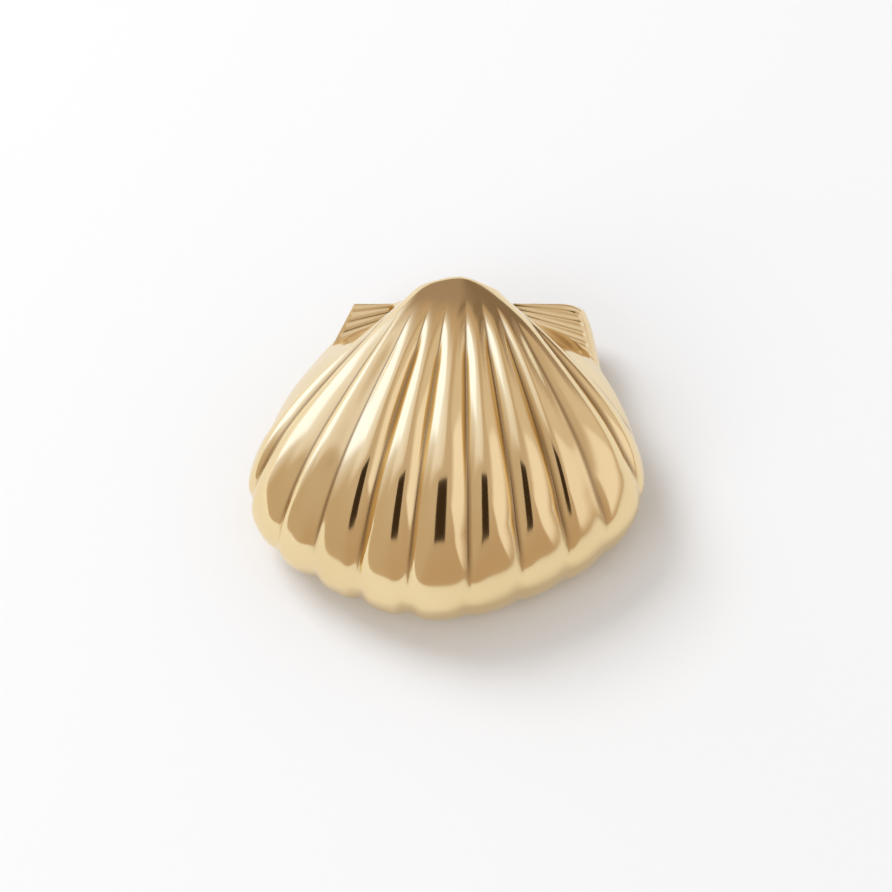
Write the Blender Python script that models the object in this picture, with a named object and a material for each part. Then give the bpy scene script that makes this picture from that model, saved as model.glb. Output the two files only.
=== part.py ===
"""A cast scallop shell ornament: ribbed dome, thick rounded rim and two ridged ears in one solid.

The shell is drawn the way a real one grows.  Its margin is a fan in a level plane.  Pages that hold
an ever smaller copy of the margin turn about the hinge axis and carry it up and back to the beak,
and the grooves between the ribs are then cut into that plain dome.  Metres, +Z up, hinge at +Y,
resting flat on z = 0, origin under the middle of its box.
"""
import math

import bmesh
import bpy
import numpy as np
from mathutils import Vector

MM = 0.001

# Driving dimensions in millimetres and degrees.
RIM_HEIGHT = 8.2            # height of the widest line above the resting face
HINGE_RUN = 54.3            # from the front of the margin back to the hinge axis
MARGIN = ((0, 54.3), (14.3, 52.5), (28.6, 50.2), (43, 44.0), (57.3, 29.6), (71.6, 20.6), (90, 13.0))
BENDS = ((0, 5.7), (15, 10.0), (35, 17.9), (60, 24.0), (95, 70.0), (110, 50.0), (118, 3.0), (150, 2.0),
         (172, 2.6))        # slope of the middle line and its bend radius there, from the rim to the beak
LEAN = 0.063                # the beak leans a little to the right of the margin's middle
UNDER_INSET = 0.27          # how far the underside draws in, as a share of the outline
OUTLINE_CENTRE = 29.5       # distance of the outline's scaling centre in front of the hinge axis

# Ribs.  Where there are two lists, the first is for the left and the second for the right, and each runs
# from the middle outward.
GROOVES = (5.0, 13.8, 22.3, 30.2, 40.8, 48.2)   # fan angles of the cuts on each side
# Depths of the cuts, as shares of the margin's radius.
CUT_DEPTHS = ((0.03, 0.03, 0.018, 0.016, 0.018, 0.02), (0.03, 0.03, 0.027, 0.017, 0.018, 0.02))
# A higher power makes a flatter crest.
RIB_POWERS = ((2.3, 2.1, 2.1, 1.6, 1.8, 2.5), (2.3, 2.1, 2.1, 2.1, 2.0, 2.5))
# How far each crest sits toward the middle of the shell.
RIB_SKEWS = ((0, 0.06, 0.12, -0.3, 0, 0.1), (0, 0.06, 0.12, 0.35, 0, 0.1))
UPPER_GAIN = 0.35           # the ribs are this much higher on the upper dome
UPPER_BLEND = (0.85, 0.6)   # shares of full size over which that gain comes in
RIM_DEPTHS = (0.017, 0.0075)    # depth of every cut at the rim, on the left and on the right
RIM_POWER = 4.0             # the ribs are flat-crowned there
RIM_BLEND = (0.9, 1.0)      # shares of full size over which they become so
CUT_SOFTNESS = 0.06         # rounding of the bottom of a cut, as a share of half a rib
WALL_SOFTNESS = 0.35        # the same on the wall
WALL_PAGES = (6, 0)         # page angles over which the cuts soften toward the wall
CAP = (0.29, 0.5)           # shares of full size over which the cuts begin below the smooth cap
SIDE_RISE = 0.25            # the plain side rises out of the last cut by this share of its slope
SIDE_CREST = 56.0           # fan angle where it has done so
SIDE_FADE = (70, 88)        # fan angles over which the last cut fades out

# Gentle pushes that give the sides and the beak their fullness.
SHOULDER = 0.5              # extra height of the dome's sides just inside the margin
SHOULDER_SPAN = (36, 50, 62, 76)                # fan angles where it starts, is full, and ends
SHOULDER_RINGS = (1.0, 0.93)                    # shares of full size over which it rises
SHOULDER_CALM = (0.3, 0.8)                      # and over which it is gone again toward the beak
SKIRT_LEFT = 6.5            # the flanks spread by this much beside the beak
SKIRT_RIGHT = 4.0
SKIRT_SPAN = (42, 66, 76, 90)
SKIRT_PAGES = (40, 84)      # page angles over which the spread grows
SKIRT_TIP = 0.12            # it closes again on the last rings
SWELL_LEFT = 0.6            # the flanks are this much fuller toward the rim
SWELL_RIGHT = 0.5
SWELL_SPAN = (46, 60, 72, 86)
SWELL_RINGS = (0.1, 0.5)
BROW = 3.6                  # the cap's shoulders are pushed up and forward by this much
BROW_SPAN = (0, 36, 46, 76)
BROW_PAGES = (15, 75)
BROW_TIP = (0.02, 0.25)
BROW_RISE = Vector((0, -0.545, 0.839))
SLOPE_LEFT = 0.3            # the beak's shoulders slope off by this much
SLOPE_RIGHT = 0.9
SLOPE_SPAN = (0, 30, 52, 78)
SLOPE_PAGES = (40, 80)
SLOPE_FALL = Vector((0, -0.839, -0.545))
BACK_BULGE = 1.2            # the beak's back is this much fuller than flat

# Ears: a low plate along the hinge with ridges that fan out from beside the beak.
EAR_TOP = 2.7               # above the widest line, at the hinge
EAR_SLOPE = 1.3             # drop of the plate from the hinge to its front end
EAR_RIGHT = 19.0
EAR_LEFT = 16.4
EAR_FLARE_RIGHT = 3.0       # the outer edges run outward by this much
EAR_FLARE_LEFT = 4.4
EAR_DEPTH = 11.6            # front to back length of the outer edge
EAR_ROOT = 16.0             # the plate reaches this far forward inside the dome
EAR_ROOT_INSET = 3.0        # and is narrower there
EAR_RIDGES = 6
RIDGE_HEIGHT = 0.14
FAN_START = 9.0             # the ridges leave from this far beside the middle
FAN_PITCH = 0.28            # their pitch there
FAN_RELIEF = 0.05           # and their share of full height there
BACK_ROUND = 0.35           # the hinge edge is rounded over by this much
EAR_BORDER = 0.45           # plain strip between the ridges and the outer edge
BORDER_STEP = 0.15
BACK_REACH = 0.03           # over this share of the ear's depth
CORNER_DROP = 1.1           # the right ear's back corner is rounded off by this much
CORNER_RUN = 0.6            # from this share of the ridges' run outward
CORNER_DEPTH = 0.35         # and over this share of the ear's depth
EAR_WALL = ((0.05, 0.4), (0.2, 1.1), (0.46, 1.35), (0.72, 0.7), (0.93, -0.8), (1.0, -2.6))
EAR_WALL_MIDDLE = -7.5      # the wall bulges away from here, more at the right end than at the left
EAR_FLOOR_GAP = 0.4         # the plate's underside clears the surface by this much

# Mesh resolution.
RIB_STEPS = (-1, -0.8, -0.4, 0, 0.4, 0.8)
STEPS_PER_SIDE = 7
SIDE_GATHER = 1.3           # the side's stations gather toward the last cut
RING_SPACING = 3.0
RING_TURN = 15              # degrees of turn that call for a ring as one spacing does
BACK_SHARES = (0.75, 0.5, 0.25)
UNDER_ANGLES = (10, 25, 42, 60, 78, 90)
PROFILE_STEP = 0.25         # degrees of turn per step when the middle line is drawn
EAR_COLUMNS = 6
MIDDLE_COLUMNS = 4
SHARP_ANGLE = 30

METAL_COLOUR = (0.85, 0.69, 0.40, 1)
METAL_ROUGHNESS = 0.1


def ease(x, start, end):
    """Ease from 0 at start to 1 at end."""
    t = min(max((x - start) / (end - start), 0.0), 1.0)
    return t * t * (3 - 2 * t)


def plateau(x, span):
    """Ease up over the first two values of the span and down over the last two."""
    return ease(x, span[0], span[1]) * (1 - ease(x, span[2], span[3]))


def margin_radius(angle):
    """Distance from the beak's foot to the margin at a fan angle: a natural spline, even about the middle."""
    xs = np.array([-k[0] for k in MARGIN[:0:-1]] + [k[0] for k in MARGIN], float)
    ys = np.array([k[1] for k in MARGIN[:0:-1]] + [k[1] for k in MARGIN], float)
    h = np.diff(xs)
    a = np.eye(len(xs))
    b = np.zeros(len(xs))
    for i in range(1, len(xs) - 1):
        a[i, i - 1:i + 2] = h[i - 1], 2 * (h[i - 1] + h[i]), h[i]
        b[i] = 6 * ((ys[i + 1] - ys[i]) / h[i] - (ys[i] - ys[i - 1]) / h[i - 1])
    m = np.linalg.solve(a, b)
    i = min(max(int(np.searchsorted(xs, angle)) - 1, 0), len(h) - 1)
    t, u = angle - xs[i], xs[i + 1] - angle
    cubic = (m[i] * u ** 3 + m[i + 1] * t ** 3) / (6 * h[i])
    return float(cubic + (ys[i] / h[i] - m[i] * h[i] / 6) * u + (ys[i + 1] / h[i] - m[i + 1] * h[i] / 6) * t)


def fan_stations():
    """Fan angles of the stations round the margin, from left to right."""
    cuts = [-g for g in GROOVES[::-1]] + list(GROOVES)
    side = [GROOVES[-1] + (90 - GROOVES[-1]) * (k / STEPS_PER_SIDE) ** SIDE_GATHER
            for k in range(1, STEPS_PER_SIDE + 1)]
    ribs = [(a + b) / 2 + (b - a) / 2 * across for a, b in zip(cuts, cuts[1:]) for across in RIB_STEPS]
    return [-a for a in side[::-1]] + ribs + [GROOVES[-1]] + side


def centre_rings():
    """Pages up the middle of the dome: tilt about the hinge axis, and size beside the margin's."""
    slopes, radii = zip(*BENDS)
    step = math.radians(PROFILE_STEP)
    y, z, due, rings = 0.0, 0.0, 1.0, []
    for k in range(int(math.radians(BENDS[-1][0]) / step)):
        if due >= 1:
            due = 0.0
            back = HINGE_RUN - y
            rings.append((math.atan2(z, back), math.hypot(back, z) / HINGE_RUN))
        phi = (k + 0.5) * step
        bend = float(np.exp(np.interp(math.degrees(phi), slopes, np.log(radii))))
        y += bend * step * math.sin(phi)
        z += bend * step * math.cos(phi)
        due += bend * step / RING_SPACING + PROFILE_STEP / RING_TURN
    return rings


def dome_point(angle, tilt, size):
    """A point of the plain dome, measured from the hinge axis with the front at -Y."""
    reach = margin_radius(angle) * size
    sideways = reach * math.sin(math.radians(angle))
    forward = reach * math.cos(math.radians(angle))
    return Vector((sideways, -forward * math.cos(tilt), forward * math.sin(tilt)))


def page_of(point, angle):
    """Page turn in degrees and page size of a point on the plain dome."""
    turn = math.degrees(math.atan2(point.z, max(-point.y, 0)))
    return turn, point.length / margin_radius(angle)


def hollow(across, power, softness):
    """Share of a cut's depth, 1 in the cut and 0 on the crest, for a place across a rib from -1 to 1."""
    gap = 1 - abs(across)
    climb = (math.hypot(gap, softness) - softness) / (math.hypot(1, softness) - softness)
    return max(1 - climb, 0.0) ** power


def rib_place(angle):
    """The crest's power, the place across the rib from -1 to 1, and the nearer cut's depth, at an angle."""
    away, side = abs(angle), 0 if angle < 0 else 1
    rib = min(int(np.searchsorted(GROOVES, away)), len(GROOVES) - 1)
    low, high = (GROOVES[rib - 1] if rib else -GROOVES[0]), GROOVES[rib]
    if away > high:
        rise = min((away - high) / (SIDE_CREST - high), 1.0)
        return RIB_POWERS[side][rib], 1 - SIDE_RISE * rise, CUT_DEPTHS[side][rib]
    inside = (2 * away - low - high) / (high - low)
    inside += RIB_SKEWS[side][rib] * (1 - inside ** 2)
    return RIB_POWERS[side][rib], inside, CUT_DEPTHS[side][rib - 1 if inside < 0 and rib else rib]


def cut_depth(angle, turn, size):
    """How deep the skin lies under the plain dome."""
    power, across, depth = rib_place(angle)
    rim = ease(size, *RIM_BLEND)
    depth += (RIM_DEPTHS[0 if angle < 0 else 1] - depth) * rim
    share = (1 + UPPER_GAIN * ease(size, *UPPER_BLEND)) * ease(size, *CAP)
    share *= 1 - ease(abs(angle), *SIDE_FADE)
    power += (RIM_POWER - power) * rim
    softness = CUT_SOFTNESS + (WALL_SOFTNESS - CUT_SOFTNESS) * ease(turn, *WALL_PAGES)
    return share * depth * margin_radius(angle) * size * hollow(across, power, softness)


def fullness(angle, turn, size, last_turn, last_size):
    """The pushes on the sides and on the beak, as one vector."""
    away = abs(angle)
    shoulder = SHOULDER * plateau(away, SHOULDER_SPAN)
    shoulder *= ease(size, *SHOULDER_RINGS) * ease(size, *SHOULDER_CALM)
    opened = min(max((turn - SKIRT_PAGES[0]) / (SKIRT_PAGES[1] - SKIRT_PAGES[0]), 0), 1)
    skirt = SKIRT_LEFT if angle < 0 else SKIRT_RIGHT
    spread = skirt * opened * plateau(away, SKIRT_SPAN) * min(size / SKIRT_TIP, 1)
    swell = SWELL_LEFT if angle < 0 else SWELL_RIGHT
    spread += swell * plateau(away, SWELL_SPAN) * ease(size, *SWELL_RINGS)
    brow = BROW * plateau(away, BROW_SPAN) * ease(turn, *BROW_PAGES) * ease(size, *BROW_TIP)
    slope = (SLOPE_LEFT if angle < 0 else SLOPE_RIGHT) * plateau(away, SLOPE_SPAN)
    slope *= ease(turn, *SLOPE_PAGES) * ease(size, *BROW_TIP)
    push = Vector((math.copysign(spread, angle), 0, shoulder)) + BROW_RISE * brow + SLOPE_FALL * slope
    if turn > last_turn - PROFILE_STEP:
        push.y += BACK_BULGE * math.sin(math.pi * min(size / last_size, 1)) * math.cos(math.radians(angle))
    return push


def add_ring(bm, edges, place, tag):
    """Extrude a chain or loop of edges once, keep each vertex's tag and move it to the tag's place."""
    old = {v for e in edges for v in e.verts}
    made = bmesh.ops.extrude_edge_only(bm, edges=edges)["geom"]
    fresh = {v for v in made if isinstance(v, bmesh.types.BMVert)}
    for v in fresh:
        source = next(e.other_vert(v) for e in v.link_edges if e.other_vert(v) in old)
        v[tag] = source[tag]
        v.co = place(v[tag])
    return [e for e in made if isinstance(e, bmesh.types.BMEdge) and set(e.verts) <= fresh]


def open_edge(bm, tag):
    """The open edge loop of a skin, its vertices tagged anew, and their places by tag."""
    edges = [e for e in bm.edges if e.is_boundary]
    places = []
    for v in {v for e in edges for v in e.verts}:
        v[tag] = len(places)
        places.append(v.co.copy())
    return edges, places


def new_object(name, bm, material):
    """Close the bmesh's normals and make an object of it."""
    bmesh.ops.recalc_face_normals(bm, faces=bm.faces)
    mesh = bpy.data.meshes.new(name)
    bm.to_mesh(mesh)
    bm.free()
    obj = bpy.data.objects.new(name, mesh)
    bpy.context.scene.collection.objects.link(obj)
    mesh.materials.append(material)
    return obj


def plain_dome(bm, tag, stations, rings):
    """The smooth dome, open at the margin and closed on the hinge axis, with its faces outward."""
    last_tilt, last_size = rings[-1]
    back = [(last_tilt, last_size * share) for share in BACK_SHARES]
    chain = [bm.verts.new(dome_point(angle, *rings[0])) for angle in stations]
    for i, v in enumerate(chain):
        v[tag] = i
    edges = [bm.edges.new(pair) for pair in zip(chain, chain[1:])]
    for ring in rings[1:] + back + [(last_tilt, 0)]:
        edges = add_ring(bm, edges, lambda i, r=ring: dome_point(stations[i], *r), tag)
    beak = {v for e in edges for v in e.verts}
    bmesh.ops.pointmerge(bm, verts=list(beak), merge_co=Vector((0, 0, 0)))
    bmesh.ops.recalc_face_normals(bm, faces=bm.faces)
    if sum(f.normal.z * f.calc_area() for f in bm.faces) < 0:
        bmesh.ops.reverse_faces(bm, faces=bm.faces)


def carve(bm, tag, stations, rings):
    """Cut the grooves into the plain dome along its normals, and fill out its sides and its beak."""
    last_turn, last_size = math.degrees(rings[-1][0]), rings[-1][1]
    bm.normal_update()
    moves = []
    for v in bm.verts:
        angle = stations[v[tag]]
        turn, size = page_of(v.co, angle)
        filled = fullness(angle, turn, size, last_turn, last_size)
        moves.append(filled - v.normal * cut_depth(angle, turn, size))
    for v, move in zip(bm.verts, moves):
        v.co += move


def make_body(material):
    """The dome, its rounded rim and its flat underside."""
    stations = fan_stations()
    rings = centre_rings()
    bm = bmesh.new()
    tag = bm.verts.layers.int.new("station")
    plain_dome(bm, tag, stations, rings)
    carve(bm, tag, stations, rings)
    edges, rim = open_edge(bm, tag)
    for degrees in UNDER_ANGLES:
        scale = 1 - UNDER_INSET * (1 - math.cos(math.radians(degrees)))
        drop = -RIM_HEIGHT * math.sin(math.radians(degrees))

        def place(i, scale=scale, drop=drop):
            return Vector((rim[i].x * scale, (rim[i].y + OUTLINE_CENTRE) * scale - OUTLINE_CENTRE, drop))

        edges = add_ring(bm, edges, place, tag)
    bmesh.ops.contextual_create(bm, geom=edges)
    return new_object("scallop_shell", bm, material)


def ear_rows():
    """Rows of the plate from the hinge forward: share of the ear's depth, and 0 on a crest or 1 in a cut."""
    rows = [(0.0, 0.0), (BACK_REACH, 0.0)]
    for k in range(EAR_RIDGES):
        rows += [((k + 0.5) / EAR_RIDGES, 0.0), ((k + 1) / EAR_RIDGES, 1.0)]
    return rows


def ear_columns():
    """Columns from left to right: side, run from the ridges' start to the outer edge, and share of relief."""
    outer = [k / EAR_COLUMNS for k in range(1, EAR_COLUMNS)]
    reach = EAR_RIGHT - FAN_START
    full, level = 1 - (EAR_BORDER + BORDER_STEP) / reach, 1 - EAR_BORDER / reach
    half = [(run, FAN_RELIEF + (1 - FAN_RELIEF) * run) for run in outer]
    half += [(full, 1.0), (level, 0.0), (1.0, 0.0)]
    middle = [(0, -1 + 2 * k / MIDDLE_COLUMNS, FAN_RELIEF) for k in range(MIDDLE_COLUMNS + 1)]
    return [(-1, run, r) for run, r in half[::-1]] + middle + [(1, run, r) for run, r in half]


def ear_point(column, row):
    """A point of the plate's top."""
    side, run, relief = column
    depth, cut = row
    start_y = -FAN_PITCH * depth * 2 * EAR_RIDGES
    z = EAR_TOP - EAR_SLOPE * depth - RIDGE_HEIGHT * cut * relief - (BACK_ROUND if depth == 0 else 0)
    if side == 0:
        return Vector((FAN_START * run, start_y, z))
    end_x = EAR_RIGHT + EAR_FLARE_RIGHT * depth if side > 0 else EAR_LEFT + EAR_FLARE_LEFT * depth
    y = start_y + (-EAR_DEPTH * depth - start_y) * run
    if side > 0:
        corner = max((run - CORNER_RUN) / (1 - CORNER_RUN), 0) ** 3
        y -= CORNER_DROP * corner * (1 - ease(depth, 0, CORNER_DEPTH))
    return Vector((side * (FAN_START + (end_x - FAN_START) * run), y, z))


def make_ears(material):
    """The hinge plate with both ears, a closed solid that the body's union takes in."""
    columns, rows = ear_columns(), ear_rows()
    bm = bmesh.new()
    tag = bm.verts.layers.int.new("place")
    grid = [[bm.verts.new(ear_point(c, r)) for c in columns] for r in rows]
    narrower = 1 - EAR_ROOT_INSET / EAR_RIGHT
    grid.append([bm.verts.new(Vector((v.co.x * narrower, -EAR_ROOT, v.co.z))) for v in grid[-1]])
    for a, b in zip(grid, grid[1:]):
        for k in range(len(columns) - 1):
            bm.faces.new((a[k], a[k + 1], b[k + 1], b[k]))
    edges, top = open_edge(bm, tag)
    floor = -RIM_HEIGHT + EAR_FLOOR_GAP
    half_x = EAR_RIGHT + EAR_FLARE_RIGHT - EAR_WALL_MIDDLE
    for share, bulge in EAR_WALL:

        def place(i, share=share, bulge=bulge):
            first = top[i]
            x = EAR_WALL_MIDDLE + (first.x - EAR_WALL_MIDDLE) * (1 + bulge / half_x)
            y = (first.y + EAR_ROOT / 2) * (1 + 2 * bulge / EAR_ROOT) - EAR_ROOT / 2
            return Vector((x, y, first.z + (floor - first.z) * share))

        edges = add_ring(bm, edges, place, tag)
    bmesh.ops.contextual_create(bm, geom=edges)
    return new_object("ear_plate", bm, material)


def make_metal():
    """Polished pale yellow metal."""
    metal = bpy.data.materials.new("polished_gold_tone")
    metal.use_nodes = True
    shader = metal.node_tree.nodes["Principled BSDF"]
    shader.inputs["Base Color"].default_value = METAL_COLOUR
    shader.inputs["Metallic"].default_value = 1.0
    shader.inputs["Roughness"].default_value = METAL_ROUGHNESS
    metal.diffuse_color = METAL_COLOUR
    return metal


def union(body, ears):
    """Join the ears to the body for good, so that the casting is one closed skin."""
    join = body.modifiers.new("join_ears", "BOOLEAN")
    join.operation = "UNION"
    join.solver = "EXACT"
    join.object = ears
    graph = bpy.context.evaluated_depsgraph_get()
    joined = bpy.data.meshes.new_from_object(body.evaluated_get(graph))
    body.modifiers.remove(join)
    body.data = joined
    bpy.data.objects.remove(ears)


def settle(obj):
    """Lean the beak, turn millimetres into metres and put the origin under the middle of the box."""
    mesh = obj.data
    for v in mesh.vertices:
        v.co.x += LEAN * (v.co.y + HINGE_RUN / 2)
    low = [min(v.co[k] for v in mesh.vertices) for k in range(3)]
    high = [max(v.co[k] for v in mesh.vertices) for k in range(3)]
    shift = Vector(((low[0] + high[0]) / 2, (low[1] + high[1]) / 2, low[2]))
    for v in mesh.vertices:
        v.co = (v.co - shift) * MM
    mesh.shade_smooth()
    mesh.set_sharp_from_angle(angle=math.radians(SHARP_ANGLE))


def main():
    for obj in list(bpy.data.objects):
        bpy.data.objects.remove(obj)
    metal = make_metal()
    body = make_body(metal)
    union(body, make_ears(metal))
    settle(body)


main()
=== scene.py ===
# %% [markdown]
# A cast scallop shell ornament
#
# This lesson dresses a small metal ornament: a scallop shell cast in one piece, plated a pale yellow
# gold and polished until it is a mirror.  A mirror has hardly any look of its own.  What the eye reads
# as "gold shell" is the shape of its ribs and the studio that they reflect, so most of the work below
# goes into those two things.  The solid that the part was designed with is loaded first, and everything
# is made in its frame: metres, Z up, the hinge to the back at +Y.

# %% Load the frame
import math

import bpy
import numpy as np
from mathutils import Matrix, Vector


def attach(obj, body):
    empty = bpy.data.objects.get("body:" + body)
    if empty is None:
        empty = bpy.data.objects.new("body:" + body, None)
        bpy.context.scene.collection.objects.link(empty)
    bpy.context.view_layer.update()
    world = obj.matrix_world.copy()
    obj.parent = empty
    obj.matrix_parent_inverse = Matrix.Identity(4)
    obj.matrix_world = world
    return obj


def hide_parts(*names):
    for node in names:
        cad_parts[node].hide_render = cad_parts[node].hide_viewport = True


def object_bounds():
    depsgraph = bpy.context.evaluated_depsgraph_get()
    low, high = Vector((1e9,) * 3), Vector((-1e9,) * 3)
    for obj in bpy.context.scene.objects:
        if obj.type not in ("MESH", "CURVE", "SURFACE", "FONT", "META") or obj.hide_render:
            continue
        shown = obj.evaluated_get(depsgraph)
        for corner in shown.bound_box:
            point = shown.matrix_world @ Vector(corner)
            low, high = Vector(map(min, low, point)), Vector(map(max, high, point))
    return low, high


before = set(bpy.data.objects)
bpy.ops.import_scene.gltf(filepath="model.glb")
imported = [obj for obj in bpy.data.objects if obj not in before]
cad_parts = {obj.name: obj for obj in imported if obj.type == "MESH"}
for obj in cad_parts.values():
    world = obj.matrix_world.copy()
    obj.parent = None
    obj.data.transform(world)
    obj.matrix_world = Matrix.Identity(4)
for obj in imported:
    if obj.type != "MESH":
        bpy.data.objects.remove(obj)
solid_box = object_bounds()
MM = 0.001
print("solid box in mm:", [[round(c / MM, 2) for c in corner] for corner in solid_box])

# %% [markdown]
# The plan of the shell
#
# A real scallop grows by adding to its edge.  Each growth line is a larger copy of the last one, and
# all of them meet at the hinge, like the pages of an open book whose spine is the hinge axis.  So two
# lists are enough for the whole dome: the outline of the last page, and how the middle of the dome
# bends from the front edge up over the top and back to the beak.  Lengths are in millimetres and angles
# in degrees.  A fan angle is measured from the middle of the front, with the hinge as the fan's pin.

# %% The driving dimensions
RIM_HEIGHT = 8.2    # the shell is widest at this height above the table
HINGE_RUN = 54.3    # from the hinge axis to the front edge

# Fan angle and distance from the hinge to the edge, the same on both sides.
MARGIN = ((0, 54.3), (14.3, 52.5), (28.6, 50.2), (43, 44.0), (57.3, 29.6), (71.6, 20.6), (90, 13.0))

# Turn of the middle line since it left the rim, and its bend radius there.
BENDS = ((0, 5.7), (15, 10.0), (35, 17.9), (60, 24.0), (95, 70.0), (110, 50.0), (118, 3.0), (150, 2.0),
         (172, 2.6))

GROOVES = (5.0, 13.8, 22.3, 30.2, 40.8, 48.2)    # fan angles of the cuts, the same on both sides
LEAN = 0.063        # how far the shell leans to the right for each millimetre toward the hinge

# %% [markdown]
# Small helpers
#
# Blender's operators act on whatever is selected, so each step starts from a clean selection.  Two
# easing curves are used all through the script: `ease` climbs softly from 0 to 1, and `plateau` climbs,
# stays at 1 and comes down again.

# %% Helpers


def ease(x, start, end):
    """Ease from 0 at start to 1 at end, for a number or an array."""
    t = np.clip((x - start) / (end - start), 0.0, 1.0)
    return t * t * (3 - 2 * t)


def plateau(x, span):
    """Ease up over the first two values of the span and down over the last two."""
    return ease(x, span[0], span[1]) * (1 - ease(x, span[2], span[3]))


def take(piece):
    """Make a piece the only selected and the active one."""
    bpy.ops.object.select_all(action="DESELECT")
    piece.select_set(True)
    bpy.context.view_layer.objects.active = piece


def newest(name):
    """Name the object that an operator has just added."""
    piece = bpy.context.object
    piece.name = piece.data.name = name
    return piece


def edit(piece, mode, action="DESELECT"):
    """Enter edit mode on a piece, picking vertices, edges or faces, with nothing or all selected."""
    take(piece)
    bpy.ops.object.mode_set(mode="EDIT")
    bpy.ops.mesh.select_mode(type=mode)
    bpy.ops.mesh.select_all(action=action)


def leave():
    """Back to object mode, where the mesh can be read."""
    bpy.ops.object.mode_set(mode="OBJECT")


def points_of(piece):
    """All vertices of a piece as an array of three columns, in millimetres."""
    flat = np.zeros(len(piece.data.vertices) * 3)
    piece.data.vertices.foreach_get("co", flat)
    return flat.reshape(-1, 3) / MM


def move_points(piece, points):
    """Put the vertices of a piece at new places, given in millimetres."""
    piece.data.vertices.foreach_set("co", (points * MM).ravel())
    piece.data.update()


def apply_modifier(piece, kind, **settings):
    """Add a modifier to a piece, set it up and apply it."""
    take(piece)
    bpy.ops.object.modifier_add(type=kind)
    modifier = piece.modifiers[-1]
    for key, value in settings.items():
        setattr(modifier, key, value)
    bpy.ops.object.modifier_apply(modifier=modifier.name)


def push(piece, depths, direction, sign=1):
    """Push each vertex by its own depth in millimetres, along X, Y, Z or its normal, or against it.

    The depths become the weights of a vertex group, and a Displace modifier does the moving.
    """
    most = float(np.max(depths))
    group = piece.vertex_groups.new(name="push")
    for index in np.flatnonzero(depths > 0):
        group.add([int(index)], float(depths[index] / most), "REPLACE")
    apply_modifier(piece, "DISPLACE", vertex_group="push", mid_level=0, strength=sign * most * MM,
                   direction=direction)
    piece.vertex_groups.remove(piece.vertex_groups["push"])


def note(piece):
    """Print what has been made."""
    low, high = points_of(piece).min(axis=0), points_of(piece).max(axis=0)
    print(f"{piece.name}: {len(piece.data.polygons)} faces, {np.round(high - low, 2)} mm")


# %% [markdown]
# The outline of the last page
#
# Seen from above, the edge is a fan: nearly a circle in front, drawn in toward the hinge at both sides.
# Its radius is given at seven fan angles on one side, and a natural cubic spline, the curve that a thin
# steel rule takes between pins, joins them.  The same kind of curve shapes the wall of the ears later.

# %% The margin


def natural_spline(knots):
    """The curve of a thin rule through (x, y) knots, as a function for arrays."""
    xs, ys = np.array(knots, float).T
    gaps = np.diff(xs)
    slopes = np.diff(ys) / gaps
    balance = np.eye(len(xs))
    kinks = np.zeros(len(xs))
    for i in range(1, len(xs) - 1):
        balance[i, i - 1:i + 2] = gaps[i - 1], 2 * (gaps[i - 1] + gaps[i]), gaps[i]
        kinks[i] = 6 * (slopes[i] - slopes[i - 1])
    bends = np.linalg.solve(balance, kinks)

    def curve(x):
        i = np.clip(np.searchsorted(xs, x) - 1, 0, len(gaps) - 1)
        gap, past, ahead = gaps[i], x - xs[i], xs[i + 1] - x
        cubic = (bends[i] * ahead ** 3 + bends[i + 1] * past ** 3) / (6 * gap)
        from_last = (ys[i] / gap - bends[i] * gap / 6) * ahead
        to_next = (ys[i + 1] / gap - bends[i + 1] * gap / 6) * past
        return cubic + from_last + to_next

    return curve


margin_radius = natural_spline([(-x, y) for x, y in MARGIN[:0:-1]] + list(MARGIN))

STEPS_PER_RIB = 20     # stations across one rib
STEPS_PER_SIDE = 26    # stations from the last cut to the hinge
SIDE_GATHER = 1.3      # above 1, they gather toward the cut


def fan_angles():
    """Fan angles of the stations round the margin, gathered where the skin turns, at the grooves."""
    grooves = [-g for g in GROOVES[::-1]] + list(GROOVES)
    side = [GROOVES[-1] + (90 - GROOVES[-1]) * (k / STEPS_PER_SIDE) ** SIDE_GATHER
            for k in range(1, STEPS_PER_SIDE + 1)]
    angles = [-a for a in side[::-1]]
    for low, high in zip(grooves, grooves[1:]):
        for k in range(STEPS_PER_RIB):
            across = math.sin(math.pi / 2 * (2 * k / STEPS_PER_RIB - 1))
            angles.append((low + high) / 2 + (high - low) / 2 * across)
    return np.array(angles + [GROOVES[-1]] + side)


stations = fan_angles()
print(len(stations), "stations round the margin")

# %% [markdown]
# The pages up the middle
#
# The middle line of the dome is drawn by walking along it in small turns.  `BENDS` gives the bend
# radius for each turn so far: tight where the front wall leaves the rim, wide over the back of the
# dome, and tight again at the beak.  Wherever a page is due, its tilt about the hinge axis and its size
# beside the last page's are noted.

# %% The rings
PROFILE_STEP = 0.25    # degrees of turn in one step of the walk
RING_SPACING = 0.5     # a page is due at the latest after this many millimetres
RING_TURN = 2.5        # or after this many degrees of turn


def centre_rings():
    """Pages up the middle of the dome, each as its tilt in radians and its size, 1 at the margin."""
    turns = [turn for turn, radius in BENDS]
    radius_logs = [math.log(radius) for turn, radius in BENDS]
    step = math.radians(PROFILE_STEP)
    y, z, due, rings = 0.0, 0.0, 1.0, []
    for k in range(int(math.radians(BENDS[-1][0]) / step)):
        if due >= 1:
            due = 0.0
            back = HINGE_RUN - y
            rings.append((math.atan2(z, back), math.hypot(back, z) / HINGE_RUN))
        phi = (k + 0.5) * step
        bend = math.exp(np.interp(math.degrees(phi), turns, radius_logs))
        y += bend * step * math.sin(phi)
        z += bend * step * math.cos(phi)
        due += bend * step / RING_SPACING + PROFILE_STEP / RING_TURN
    return rings


rings = centre_rings()
print(len(rings), "pages from the margin to the beak")
print("the last one is turned", round(math.degrees(rings[-1][0]), 1), "degrees")

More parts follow.
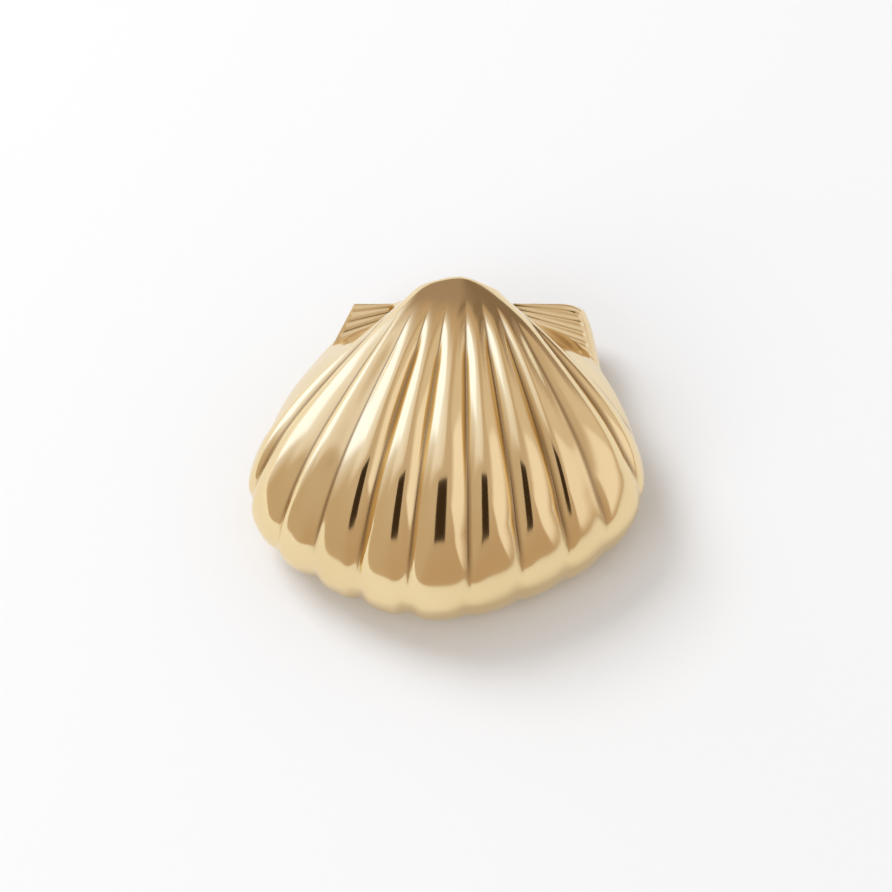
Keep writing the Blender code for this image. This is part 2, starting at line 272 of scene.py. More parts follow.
# %% [markdown]
# Growing the dome
#
# The margin starts as the front half of a circle, whose points are drawn along to their stations.
# From there the dome is grown as the animal grows it, only backward: the edge is extruded, made smaller
# about the foot of the beak and turned up about the hinge axis, page after page.  The beak's back then
# runs straight down to the hinge axis, where the last ring closes in one point.

# %% The plain dome
HINGE = (0, 0, 0)
BACK_SHARES = (0.9, 0.8, 0.7, 0.6, 0.5, 0.4, 0.3, 0.2, 0.1, 0.05)    # sizes beside the last page's
BEHIND = 0.001      # points of the circle further back than this are taken off
SAME_PLACE = 0.0001    # points closer than this become one


def start_margin():
    """The open chain of the margin."""
    bpy.ops.object.select_all(action="DESELECT")
    bpy.ops.mesh.primitive_circle_add(vertices=2 * len(stations) - 2, radius=HINGE_RUN * MM,
                                      location=HINGE)
    piece = newest("cast_shell")
    edit(piece, "VERT")
    leave()
    for vertex in piece.data.vertices:
        vertex.select = vertex.co.y > BEHIND * MM
    bpy.ops.object.mode_set(mode="EDIT")
    bpy.ops.mesh.delete(type="VERT")
    leave()
    chain = points_of(piece)
    order = np.argsort(np.arctan2(chain[:, 0], -chain[:, 1]))
    fan = np.radians(stations)
    reach = margin_radius(stations)
    chain[order] = np.stack((reach * np.sin(fan), -reach * np.cos(fan), 0 * fan), axis=1)
    move_points(piece, chain)
    return piece


def grow(piece):
    """Extrude the margin page by page up to the beak, and close its back on the hinge axis."""
    edit(piece, "VERT", "SELECT")
    tilt, size = rings[0]
    for next_tilt, next_size in rings[1:]:
        bpy.ops.mesh.extrude_region_move()
        bpy.ops.transform.resize(value=(next_size / size,) * 3, center_override=HINGE)
        bpy.ops.transform.rotate(value=next_tilt - tilt, orient_axis="X", center_override=HINGE)
        tilt, size = next_tilt, next_size
    last = 1.0
    for share in BACK_SHARES:
        bpy.ops.mesh.extrude_region_move()
        bpy.ops.transform.resize(value=(share / last,) * 3, center_override=HINGE)
        last = share
    bpy.ops.mesh.extrude_region_move()
    bpy.ops.transform.resize(value=(0, 0, 0), center_override=HINGE)
    bpy.ops.mesh.remove_doubles(threshold=SAME_PLACE * MM)
    bpy.ops.mesh.select_all(action="SELECT")
    bpy.ops.mesh.normals_make_consistent(inside=False)
    leave()


shell = start_margin()
grow(shell)
note(shell)

# %% [markdown]
# Reading a place on the dome
#
# Everything that follows asks the same questions of a vertex: at which fan angle does it lie, on which
# page, and how large is that page?  The plain dome answers them by itself, because a page is only
# turned and made smaller.  The answers are kept, as the next steps move the vertices.

# %% Fan angle, page and size of each vertex


def pages_of(points):
    """Fan angle and page turn in degrees, and page size, of points on the plain dome."""
    x, y, z = points.T
    forward = np.hypot(y, z)
    angle = np.degrees(np.arctan2(x, forward))
    turn = np.degrees(np.arctan2(z, np.maximum(-y, 0)))
    return angle, turn, np.hypot(x, forward) / margin_radius(angle)


angle, turn, size = pages_of(points_of(shell))
print("page turns", round(turn.min(), 1), "to", round(turn.max(), 1), "degrees")

# %% [markdown]
# Ribs and grooves
#
# The mould of a casting like this is cut with a graver: the ribs are what is left between the cuts.
# So the dome is the height of the crests, and each groove is pushed in along the skin's own normal.
# Each cut has one depth, which the ribs beside it share.  From there each rib rises to its crest with a
# power of its own, flatter or rounder, and some crests sit off the middle.  Toward the beak the grooves
# deepen and then fade out on the smooth cap.  At the rim they get shallow, and softer still down the
# wall.  The two sides of the photo differ, so the lists hold the left side and then the right one, each
# from the middle outward.  Depths are shares of the distance to the hinge.

# %% Cut the grooves
CUT_DEPTHS = ((0.03, 0.03, 0.018, 0.016, 0.018, 0.02), (0.03, 0.03, 0.027, 0.017, 0.018, 0.02))
RIB_POWERS = ((2.3, 2.1, 2.1, 1.6, 1.8, 2.5), (2.3, 2.1, 2.1, 2.1, 2.0, 2.5))
RIB_SKEWS = ((0, 0.06, 0.12, -0.3, 0, 0.1), (0, 0.06, 0.12, 0.35, 0, 0.1))
UPPER_GAIN, UPPER_BLEND = 0.35, (0.85, 0.6)    # deeper toward the beak, between these page sizes
RIM_DEPTHS, RIM_POWER = (0.017, 0.0075), 4.0   # left and right depth at the rim, and all ribs' power
RIM_BLEND = (0.9, 1.0)                         # page sizes over which the rim's values take over
CAP_BLEND = (0.29, 0.5)                        # page sizes from the smooth cap to full cuts
GROOVE_SOFTNESS, WALL_SOFTNESS = 0.06, 0.35
WALL_PAGES = (6, 0)                            # page turns over which the wall's softness takes over
SIDE_RISE, SIDE_CREST = 0.25, 56.0             # the flank climbs a little, up to this fan angle
SIDE_FADE = (70, 88)                           # and the cuts' depth is gone at the hinge


def hollow(across, power, softness):
    """Share of a groove's depth, 1 in the cut and 0 on the crest, across a rib from -1 to 1.

    A higher power makes the crest flatter, and the softness rounds the bottom of the cut.
    """
    gap = 1 - np.abs(across)
    climb = (np.sqrt(gap ** 2 + softness ** 2) - softness) / (np.sqrt(1 + softness ** 2) - softness)
    return (1 - climb) ** power


def rib_places(angle):
    """The crest's power, the place across the rib from -1 to 1, and the nearer cut's depth."""
    away, side = np.abs(angle), np.where(angle < 0, 0, 1)
    cuts = np.array(GROOVES)
    rib = np.clip(np.searchsorted(cuts, away), 0, len(cuts) - 1)
    low, high = np.where(rib > 0, cuts[rib - 1], -cuts[0]), cuts[rib]
    inside = (2 * away - low - high) / (high - low)
    inside = inside + np.array(RIB_SKEWS)[side, rib] * (1 - inside ** 2)
    beyond = 1 - SIDE_RISE * np.clip((away - cuts[-1]) / (SIDE_CREST - cuts[-1]), 0, 1)
    depth = np.array(CUT_DEPTHS)[side, np.where((inside < 0) & (rib > 0), rib - 1, rib)]
    return np.array(RIB_POWERS)[side, rib], np.where(away > cuts[-1], beyond, inside), depth


def groove_depths(angle, turn, size):
    """How deep each point lies under the crests, in millimetres."""
    power, across, depth = rib_places(angle)
    rim = ease(size, *RIM_BLEND)
    depth = depth * (1 - rim) + np.where(angle < 0, *RIM_DEPTHS) * rim
    share = (1 + UPPER_GAIN * ease(size, *UPPER_BLEND)) * ease(size, *CAP_BLEND)
    share = share * (1 - ease(np.abs(angle), *SIDE_FADE))
    power = power * (1 - rim) + RIM_POWER * rim
    softness = GROOVE_SOFTNESS + (WALL_SOFTNESS - GROOVE_SOFTNESS) * ease(turn, *WALL_PAGES)
    return share * depth * margin_radius(angle) * size * hollow(across, power, softness)


depths = groove_depths(angle, turn, size)
print("deepest groove in mm:", round(depths.max(), 2))
push(shell, depths, "NORMAL", sign=-1)

# %% [markdown]
# Where the polishing wheel doesn't reach, and painted shade in the cuts
#
# The bottoms of the cuts stay duller than the ribs, and their colour is painted darker as painted
# shade, within a degree of the fan at each side.  Each point's share of that is kept as an attribute of
# the mesh, from 0 on the ribs to 1 in a cut, and the metal's material reads it later.

# %% Mark the dull bottoms of the cuts and their painted shade
DULL_SHADE_LEFT, DULL_SHADE_RIGHT = 0.6, 0.9    # half width of the dull line with its painted shade, in degrees of the fan
DULL_SHADE_PAGES = (3, 10)                # page turns over which it starts above the rim
DULL_SHADE_CAP = (0.3, 0.42)              # page sizes over which it ends at the cap

# This mask carries both the duller finish and the painted shade of the cuts.
from_cut = np.abs(np.abs(angle)[:, None] - np.array(GROOVES)).min(axis=1)
dull_and_shade = 1 - ease(from_cut, 0, np.where(angle < 0, DULL_SHADE_LEFT, DULL_SHADE_RIGHT))
dull_and_shade = dull_and_shade * ease(turn, *DULL_SHADE_PAGES) * ease(size, *DULL_SHADE_CAP)
mark = shell.data.attributes.new("groove", "FLOAT", "POINT")
mark.data.foreach_set("value", dull_and_shade.astype(np.float32))
print(int((dull_and_shade > 0.5).sum()), "points lie in the cuts")

# %% [markdown]
# Shoulders, flanks and the beak's back
#
# A page that is only a smaller copy of the margin makes the sides of the beak too lean and the sides
# of the dome too flat.  Gentle pushes put that right: the sides rise a little just inside the rim, the
# flanks spread beside the beak and swell toward the rim, the brow rises up and forward, the beak's
# shoulders slope off, more on the right than on the left, and its back bulges.  Below, a SPAN holds fan
# angles, PAGES hold page turns, and RINGS and TIP hold page sizes.

# %% Shape the sides
SHOULDER = 0.5
SHOULDER_SPAN = (36, 50, 62, 76)
SHOULDER_RINGS = (1.0, 0.93)
SHOULDER_CALM_RINGS = (0.3, 0.8)
SKIRT_LEFT, SKIRT_RIGHT = 6.5, 4.0
SKIRT_SPAN = (42, 66, 76, 90)
SKIRT_PAGES = (40, 84)
SKIRT_TIP = 0.12
SWELL_LEFT, SWELL_RIGHT = 0.6, 0.5
SWELL_SPAN = (46, 60, 72, 86)
SWELL_RINGS = (0.1, 0.5)
BACK_BULGE = 1.2
BROW = 3.6
BROW_SPAN = (0, 36, 46, 76)
BROW_PAGES = (15, 75)
BROW_TIP = (0.02, 0.25)
BROW_FORWARD, BROW_UP = 0.545, 0.839    # along the line of sight of the photo
SLOPE_LEFT, SLOPE_RIGHT = 0.3, 0.9
SLOPE_SPAN = (0, 30, 52, 78)
SLOPE_PAGES = (40, 80)
LAST_PAGE_SLACK = 0.01    # degrees within which a point counts as on the beak's back

shoulder = SHOULDER * plateau(np.abs(angle), SHOULDER_SPAN)
shoulder = shoulder * ease(size, *SHOULDER_RINGS) * ease(size, *SHOULDER_CALM_RINGS)
push(shell, shoulder, "Z")

opened = np.clip((turn - SKIRT_PAGES[0]) / (SKIRT_PAGES[1] - SKIRT_PAGES[0]), 0, 1)
spread = opened * plateau(np.abs(angle), SKIRT_SPAN) * np.minimum(size / SKIRT_TIP, 1)
swell = plateau(np.abs(angle), SWELL_SPAN) * ease(size, *SWELL_RINGS)
push(shell, np.where(angle > 0, SKIRT_RIGHT * spread + SWELL_RIGHT * swell, 0), "X")
push(shell, np.where(angle < 0, SKIRT_LEFT * spread + SWELL_LEFT * swell, 0), "X", sign=-1)

brow = BROW * plateau(np.abs(angle), BROW_SPAN) * ease(turn, *BROW_PAGES) * ease(size, *BROW_TIP)
push(shell, brow * BROW_UP, "Z")
push(shell, brow * BROW_FORWARD, "Y", sign=-1)

sloping = np.where(angle < 0, SLOPE_LEFT, SLOPE_RIGHT) * plateau(np.abs(angle), SLOPE_SPAN)
sloping = sloping * ease(turn, *SLOPE_PAGES) * ease(size, *BROW_TIP)
push(shell, sloping * BROW_FORWARD, "Z", sign=-1)
push(shell, sloping * BROW_UP, "Y", sign=-1)

last_turn, last_size = math.degrees(rings[-1][0]), rings[-1][1]
behind = (turn > last_turn - LAST_PAGE_SLACK) * np.sin(np.pi * np.clip(size / last_size, 0, 1))
push(shell, BACK_BULGE * behind * np.cos(np.radians(angle)), "Y")
note(shell)

# %% [markdown]
# The rim and the underside
#
# The casting is thickest at its widest line.  Below it the wall curls in under the shell in a quarter
# ellipse, lobes and all, and ends in a flat face that the ornament rests on.  The open edge is selected
# as what it is, the mesh's only border, and is extruded down and drawn in step by step.

# %% Curl the rim under
UNDER_INSET = 0.27    # how much smaller the resting face is than the outline
UNDER_STEPS = 16
OUTLINE_CENTRE = (0, -29.5 * MM, 0)


def close_below(piece):
    """Extrude the border of the dome down to the resting plane and cap it."""
    edit(piece, "EDGE")
    bpy.ops.mesh.select_non_manifold(extend=False, use_wire=False, use_multi_face=False,
                                     use_non_contiguous=False, use_verts=False)
    depth, scale = 0.0, 1.0
    for k in range(1, UNDER_STEPS + 1):
        slope = math.pi / 2 * k / UNDER_STEPS
        next_depth = RIM_HEIGHT * math.sin(slope)
        next_scale = 1 - UNDER_INSET * (1 - math.cos(slope))
        bpy.ops.mesh.extrude_region_move()
        bpy.ops.transform.translate(value=(0, 0, (depth - next_depth) * MM))
        ratio = next_scale / scale
        bpy.ops.transform.resize(value=(ratio, ratio, 1), center_override=OUTLINE_CENTRE)
        depth, scale = next_depth, next_scale
    bpy.ops.mesh.edge_face_add()
    bpy.ops.mesh.select_all(action="SELECT")
    bpy.ops.mesh.normals_make_consistent(inside=False)
    leave()


close_below(shell)
note(shell)

# %% [markdown]
# The ears
#
# Beside the beak the shell spreads into two flat ears with fine ridges, which fan out from the beak
# and end at a plain border strip.  They are weak beside the beak, and the hinge edge is rounded over.
# Both ears are one plate that runs through below the beak: a grid, whose rows follow the ridges and
# whose columns are counted outward.  Its own wall bulges softly and tucks in below.

# %% The hinge plate
EAR_TOP, EAR_SLOPE = 2.7, 1.3                  # height over the rim at the hinge, and fall to the front
EAR_RIGHT, EAR_LEFT = 19.0, 16.4               # reach to the sides at the hinge
EAR_FLARE_RIGHT, EAR_FLARE_LEFT = 3.0, 4.4     # further reach at the front
EAR_DEPTH = 11.6                               # from the hinge to the front along the outer edge
EAR_ROOT, EAR_ROOT_INSET = 16.0, 3.0           # the plate runs on this far inside the dome
CORNER_DROP, CORNER_RUN, CORNER_DEPTH = 1.1, 0.6, 0.35    # the right ear's rounded corner
EAR_RIDGES, RIDGE_HEIGHT, RIDGE_SOFTNESS, RIDGE_POWER = 6, 0.14, 0.3, 2.5
FAN_START, FAN_PITCH, FAN_RELIEF = 9.0, 0.28, 0.05    # where the ridges start, how close, how deep
BACK_ROUND, BACK_REACH = 0.35, 0.06            # drop of the hinge edge, and its share of the depth
EAR_BORDER, BORDER_STEP = 0.45, 0.15           # plain strip outside the ridges

# How far down the wall, as a share, and how far it bulges there.
EAR_WALL = ((0, 0), (0.05, 0.4), (0.2, 1.1), (0.46, 1.35), (0.72, 0.7), (0.93, -0.8), (1.0, -2.6))
EAR_WALL_STEPS = 16
EAR_WALL_MIDDLE = -7.5
EAR_FLOOR_GAP = 0.4                            # the plate ends this far above the table

ROWS_PER_RIDGE = 10
EAR_COLUMNS, MIDDLE_COLUMNS = 26, 8            # of one ear, and of the strip below the beak
COLUMN_GATHER = 1.5
FIRST_CREST = 0.5                              # the strip behind the first crest stays plain
CORNER_POWER = 3


def ear_grid():
    """A flat grid and the column and row of each of its points, counted from the left and the hinge."""
    columns, rows = 2 * EAR_COLUMNS + MIDDLE_COLUMNS, EAR_RIDGES * ROWS_PER_RIDGE + 1
    bpy.ops.object.select_all(action="DESELECT")
    bpy.ops.mesh.primitive_grid_add(x_subdivisions=columns, y_subdivisions=rows, size=2 * MM)
    piece = newest("ear_plate")
    across, back = points_of(piece)[:, :2].T
    return piece, np.rint((across + 1) / 2 * columns), np.rint((1 - back) / 2 * rows)


def ear_runs(column):
    """Side of each column, -1 or 1, and its runs from 0 to 1: to the ridges' start, and along them."""
    half = MIDDLE_COLUMNS / 2
    middle = column - EAR_COLUMNS - half
    outward = np.clip((np.abs(middle) - half) / EAR_COLUMNS, 0, 1)
    return np.sign(middle), np.clip(np.abs(middle) / half, 0, 1), 1 - (1 - outward) ** COLUMN_GATHER


def ridge_depths(row, run):
    """How deep each point lies under the ridges' crests, in millimetres."""
    place = np.minimum(row / ROWS_PER_RIDGE, EAR_RIDGES)
    across = 2 * (place - np.minimum(np.floor(place), EAR_RIDGES - 1)) - 1
    across = np.where(place < FIRST_CREST, 0, across)
    to_edge = (EAR_RIGHT - FAN_START) * (1 - run)
    relief = FAN_RELIEF + (1 - FAN_RELIEF) * run
    relief = relief * ease(to_edge, EAR_BORDER, EAR_BORDER + BORDER_STEP)
    return RIDGE_HEIGHT * relief * hollow(across, RIDGE_POWER, RIDGE_SOFTNESS)


def shape_top(piece, column, row):
    """Draw the grid out to the plate's outline, slope its top and cut the ridges."""
    side, middle, run = ear_runs(column)
    depth = np.minimum(row / (EAR_RIDGES * ROWS_PER_RIDGE), 1)
    start_y = -2 * FAN_PITCH * EAR_RIDGES * depth
    end_x = np.where(side > 0, EAR_RIGHT + EAR_FLARE_RIGHT * depth, EAR_LEFT + EAR_FLARE_LEFT * depth)
    x = side * (FAN_START * middle + (end_x - FAN_START) * run)
    y = start_y + (-EAR_DEPTH * depth - start_y) * run
    corner = np.clip((run - CORNER_RUN) / (1 - CORNER_RUN), 0, 1) ** CORNER_POWER
    y = y - CORNER_DROP * corner * (1 - ease(depth, 0, CORNER_DEPTH)) * (side > 0)
    z = EAR_TOP - EAR_SLOPE * depth - BACK_ROUND * np.clip(1 - depth / BACK_REACH, 0, 1) ** 2
    root = row > EAR_RIDGES * ROWS_PER_RIDGE
    x = np.where(root, x * (1 - EAR_ROOT_INSET / EAR_RIGHT), x)
    move_points(piece, np.stack((x, np.where(root, -EAR_ROOT, y), z), axis=1))
    push(piece, ridge_depths(row, run), "Z", sign=-1)


def close_plate(piece):
    """Extrude the plate's border down in a bulging wall and cap it."""
    floor = -RIM_HEIGHT + EAR_FLOOR_GAP
    middle_of_wall = (EAR_WALL_MIDDLE * MM, -EAR_ROOT / 2 * MM, floor * MM)
    half_width = EAR_RIGHT + EAR_FLARE_RIGHT - EAR_WALL_MIDDLE
    bulge_at = natural_spline(EAR_WALL)
    edit(piece, "EDGE")
    bpy.ops.mesh.select_non_manifold(extend=False, use_wire=False, use_multi_face=False,
                                     use_non_contiguous=False, use_verts=False)
    last = np.array((1.0, 1.0, 1.0))
    for k in range(1, EAR_WALL_STEPS + 1):
        share = (k / EAR_WALL_STEPS) ** COLUMN_GATHER
        bulge = float(bulge_at(share))
        now = np.array((1 + bulge / half_width, 1 + 2 * bulge / EAR_ROOT, 1 - share))
        bpy.ops.mesh.extrude_region_move()
        bpy.ops.transform.resize(value=tuple(now / last), center_override=middle_of_wall)
        last = now
    bpy.ops.mesh.edge_face_add()
    bpy.ops.mesh.select_all(action="SELECT")
    bpy.ops.mesh.normals_make_consistent(inside=False)
    leave()


ears, ear_column, ear_row = ear_grid()
shape_top(ears, ear_column, ear_row)
close_plate(ears)
note(ears)

# %% [markdown]
# One casting
#
# The real ornament is a single casting, so the plate is joined to the dome with a Boolean union, which
# leaves one closed skin with a crisp line where the ridges run into the flank.  The union leaves stray
# dullness and painted shade of the cuts on the plate, which has no cuts, so they are wiped there.  The
# whole is then leaned a little, as no mould is quite even, and set on the floor where the solid stands.

# %% Join, lean and settle
SHARP_ANGLE = 32      # edges that turn by more than this stay crisp
PLATE_MARGIN = 0.3    # the wiped place reaches this far past the plate


def wipe_plate(piece):
    """Take the dullness and painted shade of the cuts off the hinge plate, which lies low and behind
    the dome's cuts.
    """
    points = points_of(piece)
    marks = np.zeros(len(points), np.float32)
    groove = piece.data.attributes["groove"].data
    groove.foreach_get("value", marks)
    plate = (points[:, 1] > -EAR_ROOT - PLATE_MARGIN) & (points[:, 2] < EAR_TOP + PLATE_MARGIN)
    print(int((marks[plate] > 0).sum()), "stray marks wiped")
    marks[plate] = 0
    groove.foreach_set("value", marks)


def settle(piece):
    """Lean the beak sideways and put the piece where the solid is."""
    points = points_of(piece)
    points[:, 0] += LEAN * (points[:, 1] + HINGE_RUN / 2)
    low, high = points.min(axis=0), points.max(axis=0)
    solid_low, solid_high = np.array(solid_box[0]) / MM, np.array(solid_box[1]) / MM
    middle = (solid_low + solid_high) / 2
    points[:, :2] += middle[:2] - (low + high)[:2] / 2
    points[:, 2] += solid_low[2] - low[2]
    move_points(piece, points)


apply_modifier(shell, "BOOLEAN", operation="UNION", solver="EXACT", object=ears)
bpy.data.objects.remove(ears)
wipe_plate(shell)
settle(shell)
take(shell)
bpy.ops.object.shade_smooth_by_angle(angle=math.radians(SHARP_ANGLE))
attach(shell, "root")
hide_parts("scallop_shell")
note(shell)

# %% [markdown]
# Writing shader maths
#
# Long chains of nodes are hard to read as code.  One small class wraps a node's output, so that sums
# and products of outputs are written as plain Python, and each adds its Math node.  Any other node
# comes from its method `put`, which takes the node's type, its settings and then the values or links of
# its sockets.

# %% A wire that can be added and multiplied


class Wire:
    """One output of a shader node, for use in Python expressions."""

    def __init__(self, tree, socket=None):
        self.tree = tree
        self.socket = socket

    def put(self, kind, settings=None, values=None, output=0):
        """Add a node: its type, its settings, then the values or links of its sockets."""
        made = self.tree.nodes.new(kind)
        for key, value in (settings or {}).items():
            setattr(made, key, value)
        for key, value in (values or {}).items():
            if isinstance(value, Wire):
                self.tree.links.new(value.socket, made.inputs[key])
            else:
                made.inputs[key].default_value = value
        return Wire(self.tree, made.outputs[output])

    def math(self, operation, first, second=0.0):
        return self.put("ShaderNodeMath", {"operation": operation}, {0: first, 1: second})

    def __add__(self, other):
        return self.math("ADD", self, other)

    def __sub__(self, other):
        return self.math("SUBTRACT", self, other)

    def __mul__(self, other):
        return self.math("MULTIPLY", self, other)

    def __truediv__(self, other):
        return self.math("DIVIDE", self, other)

    def __rsub__(self, other):
        return self.math("SUBTRACT", other, self)

    def __rtruediv__(self, other):
        return self.math("DIVIDE", other, self)

    def __abs__(self):
        return self.math("ABSOLUTE", self)

    __radd__ = __add__
    __rmul__ = __mul__

    def ramp(self, start, end):
        """Ease from 0 to 1 as this value goes from start to end."""
        return self.put("ShaderNodeMapRange", {"interpolation_type": "SMOOTHSTEP"},
                        {"Value": self, "From Min": start, "From Max": end})

    def blend(self, low, high):
        """A colour between two, with this value as the share of the second."""
        return self.put("ShaderNodeMix", {"data_type": "RGBA"}, {0: self, 6: low, 7: high}, output=2)

    def drive(self, owner, name):
        """Let this value drive a socket of a shader."""
        self.tree.links.new(self.socket, owner.inputs[name])


def start_tree(owner):
    """The node tree of a new material or world, and a wire to build on."""
    owner.use_nodes = True
    return owner.node_tree, Wire(owner.node_tree)


# %% [markdown]
# Polished gold plate
#
# The casting is plated and then polished on a soft wheel.  Three things make it differ from a perfect
# mirror.  The plate's colour drifts a little from place to place.  The wheel leaves faint waves and a
# fine grain, drawn out from the beak to the rim, so reflections of straight edges are never quite
# straight.  And it can't reach the bottom of the grooves, where the metal stays duller, and there its
# colour is also painted darker, as painted shade in the cuts.  The noises are read in the object's own
# coordinates, so they stay with the metal when it is moved.

# %% The metal
GOLD, DEEP_GOLD = (0.87, 0.695, 0.40, 1), (0.82, 0.64, 0.355, 1)
# Painted shade: the dark colour that the bottoms of the cuts are blended toward.
GROOVE_SHADE_COLOUR = (0.30, 0.19, 0.09, 1)
DRIFT_SCALE, DRIFT_EDGES = 45, (0.3, 0.7)
WAVE_SCALE, WAVE_STRETCH = 260, (1.0, 0.22, 1.0)
GRAIN_SCALE, GRAIN_SHARE = 2600, 0.05
BUMP_HEIGHT = 0.016 * MM
ROUGHNESS, DRIFT_ROUGHNESS, GROOVE_ROUGHNESS = 0.095, 0.04, 0.2
# How far the painted shade darkens the colour in the cuts.
GROOVE_SHADE_STRENGTH = 0.85


def make_metal():
    """Polished gold plate over the whole casting."""
    metal = bpy.data.materials.new("polished_gold_tone")
    tree, wire = start_tree(metal)
    shader = tree.nodes["Principled BSDF"]
    shader.inputs["Metallic"].default_value = 1
    place = wire.put("ShaderNodeTexCoord", output="Object")
    drawn_out = wire.put("ShaderNodeVectorMath", {"operation": "MULTIPLY"},
                         {0: place, 1: WAVE_STRETCH})
    drift = wire.put("ShaderNodeTexNoise", values={"Vector": place, "Scale": DRIFT_SCALE})
    drift = drift.ramp(*DRIFT_EDGES)
    waves = wire.put("ShaderNodeTexNoise",
                     values={"Vector": drawn_out, "Scale": WAVE_SCALE, "Detail": 1})
    grain = wire.put("ShaderNodeTexNoise",
                     values={"Vector": drawn_out, "Scale": GRAIN_SCALE, "Detail": 3})
    groove = wire.put("ShaderNodeAttribute", {"attribute_name": "groove"}, output="Fac")
    # The colour drifts at random, and in the cuts it is darkened by painted shade.
    colour = (groove * GROOVE_SHADE_STRENGTH).blend(drift.blend(GOLD, DEEP_GOLD), GROOVE_SHADE_COLOUR)
    colour.drive(shader, "Base Color")
    (ROUGHNESS + drift * DRIFT_ROUGHNESS + groove * GROOVE_ROUGHNESS).drive(shader, "Roughness")
    height = waves + grain * GRAIN_SHARE
    relief = wire.put("ShaderNodeBump", values={"Distance": BUMP_HEIGHT, "Height": height})
    relief.drive(shader, "Normal")
    print(len(tree.nodes), "nodes in the metal")
    return metal


shell.data.materials.clear()
shell.data.materials.append(make_metal())

# %% [markdown]
# The table
#
# The ornament lies on white paper.  Paper scatters light evenly, so it has no gloss at all, and it
# shows the soft shadow and the warm light that the gold throws back on it.  It belongs to the stage and
# isn't part of the object.

# %% The floor
PAPER = (0.88, 0.88, 0.88, 1)
PAPER_SIZE = 6    # in metres

bpy.ops.object.select_all(action="DESELECT")
bpy.ops.mesh.primitive_plane_add(size=PAPER_SIZE, location=(0, 0, 0))
floor = newest("floor")
paper = bpy.data.materials.new("white_paper")
paper.use_nodes = True
paper_shader = paper.node_tree.nodes["Principled BSDF"]
paper_shader.inputs["Base Color"].default_value = PAPER
paper_shader.inputs["Roughness"].default_value = 1
paper_shader.inputs["Specular IOR Level"].default_value = 0
floor.data.materials.append(paper)
print("the floor is", round(floor.dimensions.x, 1), "m wide")

# %% [markdown]
# The studio as the metal sees it
#
# A mirror shows nothing but its surroundings, so the surroundings are drawn with care: a room that is
# brown at the horizon and paler overhead, a large soft box to the left behind the shell, a second panel
# to the right, a dark gap between them at the back, and a small dark card at the camera, which gives
# the narrow dark marks low on the ribs.  Each panel is a soft-edged patch of the sky, placed by azimuth
# and elevation in degrees.  Azimuth 0 is behind the shell, and positive azimuths are to the right.  The
# card is placed as the camera's own picture plane has it, across and up, in shares of its distance.

# %% The studio
CAMERA_ELEVATION = 57
LOW_FRONT = (0.575, 0.435, 0.318, 1)
LOW_LEFT = (0.62, 0.50, 0.39, 1)
LEFT_AZIMUTH, LEFT_SPREAD = -100, (70, 30)               # where the paler left side lies
ZENITH, ZENITH_RISE = (0.64, 0.54, 0.46, 1), (15, 75)    # elevations over which it takes over
PANELS = (
    # centre azimuth and elevation, half widths, softness of the edges, colour
    ((-42, 62), (32, 12), (22, 18), (0.9, 0.87, 0.93, 1)),
    ((-44, 27), (8, 30), (32, 16), (0.98, 1.03, 1.2, 1)),
    ((-45, 20), (12, 20), (8, 14), (1.3, 1.5, 2.1, 1)),
    ((68, 32), (24, 21), (24, 14), (0.77, 0.68, 0.61, 1)),
    ((92, 30), (27, 15), (4, 14), (1.0, 0.95, 0.96, 1)),
    ((12, 2), (24, 18), (14, 14), (0.41, 0.32, 0.27, 1)),
    ((18, 5), (11, 22), (6, 6), (0.27, 0.2, 0.15, 1)),
)
CARD_COLOUR = (0.045, 0.028, 0.016, 1)
CARD_MIDDLE, CARD_HALVES, CARD_SOFTNESS = (0, 0.13), (0.27, 0.38), 0.02
LEAST_TOWARD = 0.01    # keeps the card off the sky behind the shell
AMBIENT = (0.65, 0.626, 0.6, 1)


def patch(first, second, middle, halves, softness):
    """1 inside a soft-edged rectangle of two coordinates, and 0 outside."""
    shares = [abs(value - centre).ramp(half + soft, half)
              for value, centre, half, soft in zip((first, second), middle, halves, softness)]
    return shares[0] * shares[1]


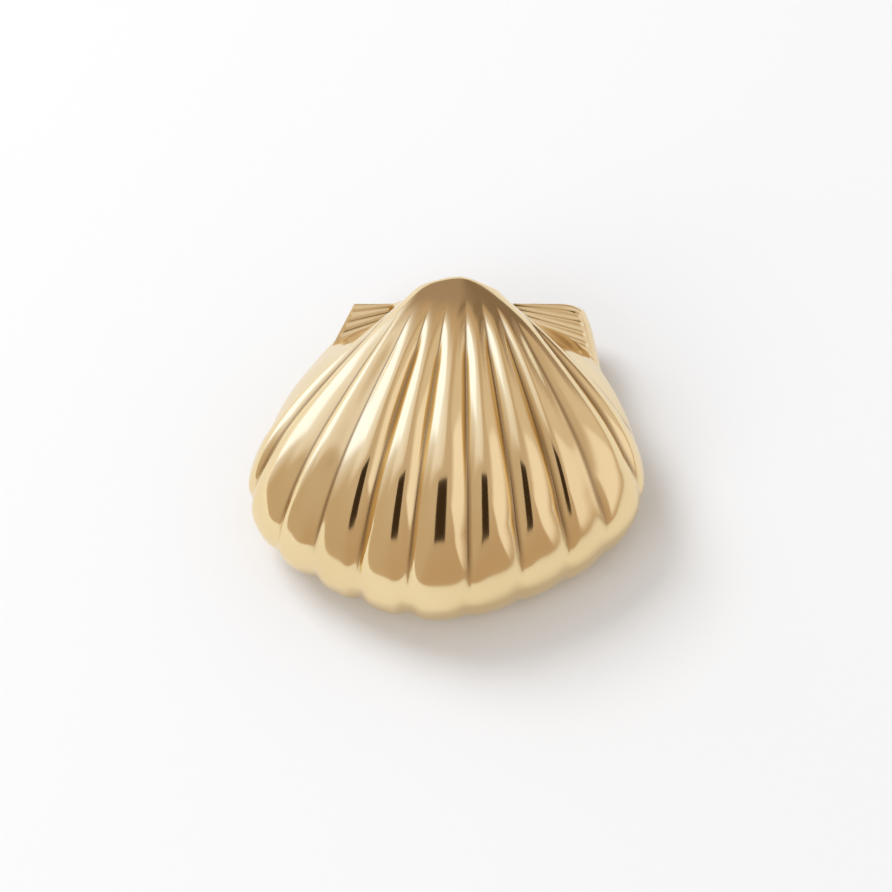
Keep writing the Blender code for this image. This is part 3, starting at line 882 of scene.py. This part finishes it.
def make_studio():
    """The world: the studio for mirror rays, and plain soft light for the paper and the camera."""
    world = bpy.data.worlds.new("studio")
    bpy.context.scene.world = world
    tree, wire = start_tree(world)
    parts = tree.nodes.new("ShaderNodeSeparateXYZ")
    tree.links.new(wire.put("ShaderNodeTexCoord", output="Generated").socket, parts.inputs[0])
    x, y, z = (Wire(tree, parts.outputs[k]) for k in range(3))
    azimuth = wire.math("ARCTAN2", x, y) * math.degrees(1)
    elevation = wire.math("ARCSINE", z) * math.degrees(1)
    low = abs(azimuth - LEFT_AZIMUTH).ramp(*LEFT_SPREAD).blend(LOW_FRONT, LOW_LEFT)
    light = elevation.ramp(*ZENITH_RISE).blend(low, ZENITH)
    for middle, halves, softness, colour in PANELS:
        light = patch(azimuth, elevation, middle, halves, softness).blend(light, colour)
    level, steep = math.cos(math.radians(CAMERA_ELEVATION)), math.sin(math.radians(CAMERA_ELEVATION))
    toward = wire.math("MAXIMUM", z * steep - y * level, LEAST_TOWARD)
    up = (z * level + y * steep) / toward
    card = patch(x / toward, up, CARD_MIDDLE, CARD_HALVES, (CARD_SOFTNESS,) * 2)
    light = card.blend(light, CARD_COLOUR)
    ray = wire.put("ShaderNodeLightPath").socket.node
    plain = Wire(tree, ray.outputs["Is Camera Ray"]) + Wire(tree, ray.outputs["Is Diffuse Ray"])
    plain.blend(light, AMBIENT).drive(tree.nodes["Background"], "Color")
    print(len(tree.nodes), "nodes in the studio")


make_studio()

# %% [markdown]
# Light on the table
#
# The shadow falls to the right and forward, soft and pale, so the lamp is a large one, high on the left
# and behind.  A weaker one from the front keeps the shadow under the rim pale.  The metal doesn't
# mirror either lamp, as it has its own studio.

# %% The lamps
LAMPS = (
    # name, place in metres, size, power, colour
    ("key", (-0.9, 0.78, 1.2), 0.8, 15.0, (0.955, 1.0, 1.055)),
    ("fill", (-1.0, -1.0, 0.9), 0.9, 5.5, (0.955, 1.0, 1.055)),
)


def floor_light(name, place, size, watts, colour):
    """A soft light for the paper alone."""
    light = bpy.data.lights.new(name, "AREA")
    light.shape = "SQUARE"
    light.size = size
    light.energy = watts
    light.color = colour
    lamp = bpy.data.objects.new(name, light)
    bpy.context.scene.collection.objects.link(lamp)
    lamp.location = place
    lamp.rotation_euler = Vector(place).to_track_quat("Z", "Y").to_euler()
    lamp.visible_glossy = False
    lamp.visible_camera = False
    print(name, "lamp at", place)


for lamp_settings in LAMPS:
    floor_light(*lamp_settings)

# %% [markdown]
# The camera
#
# The picture is taken from the front at 57 degrees above the table, from about forty centimetres away.
# That distance shows in the ribs, which spread a little faster toward the near rim than a far view
# would draw them.

# %% The camera
TARGET = Vector((-0.0001, -0.0045, 0.0171))
DISTANCE = 0.387
LENS, SENSOR = 104.9, 36

camera = bpy.data.objects.new("camera", bpy.data.cameras.new("camera"))
camera.data.lens, camera.data.sensor_width = LENS, SENSOR
bpy.context.scene.collection.objects.link(camera)
camera_tilt = math.radians(CAMERA_ELEVATION)
sight = Vector((0, -math.cos(camera_tilt), math.sin(camera_tilt)))
camera.location = TARGET + DISTANCE * sight
camera.rotation_euler = sight.to_track_quat("Z", "Y").to_euler()
bpy.context.scene.camera = camera
bpy.context.scene.view_settings.view_transform = "Standard"
print("camera at", [round(c, 3) for c in camera.location])
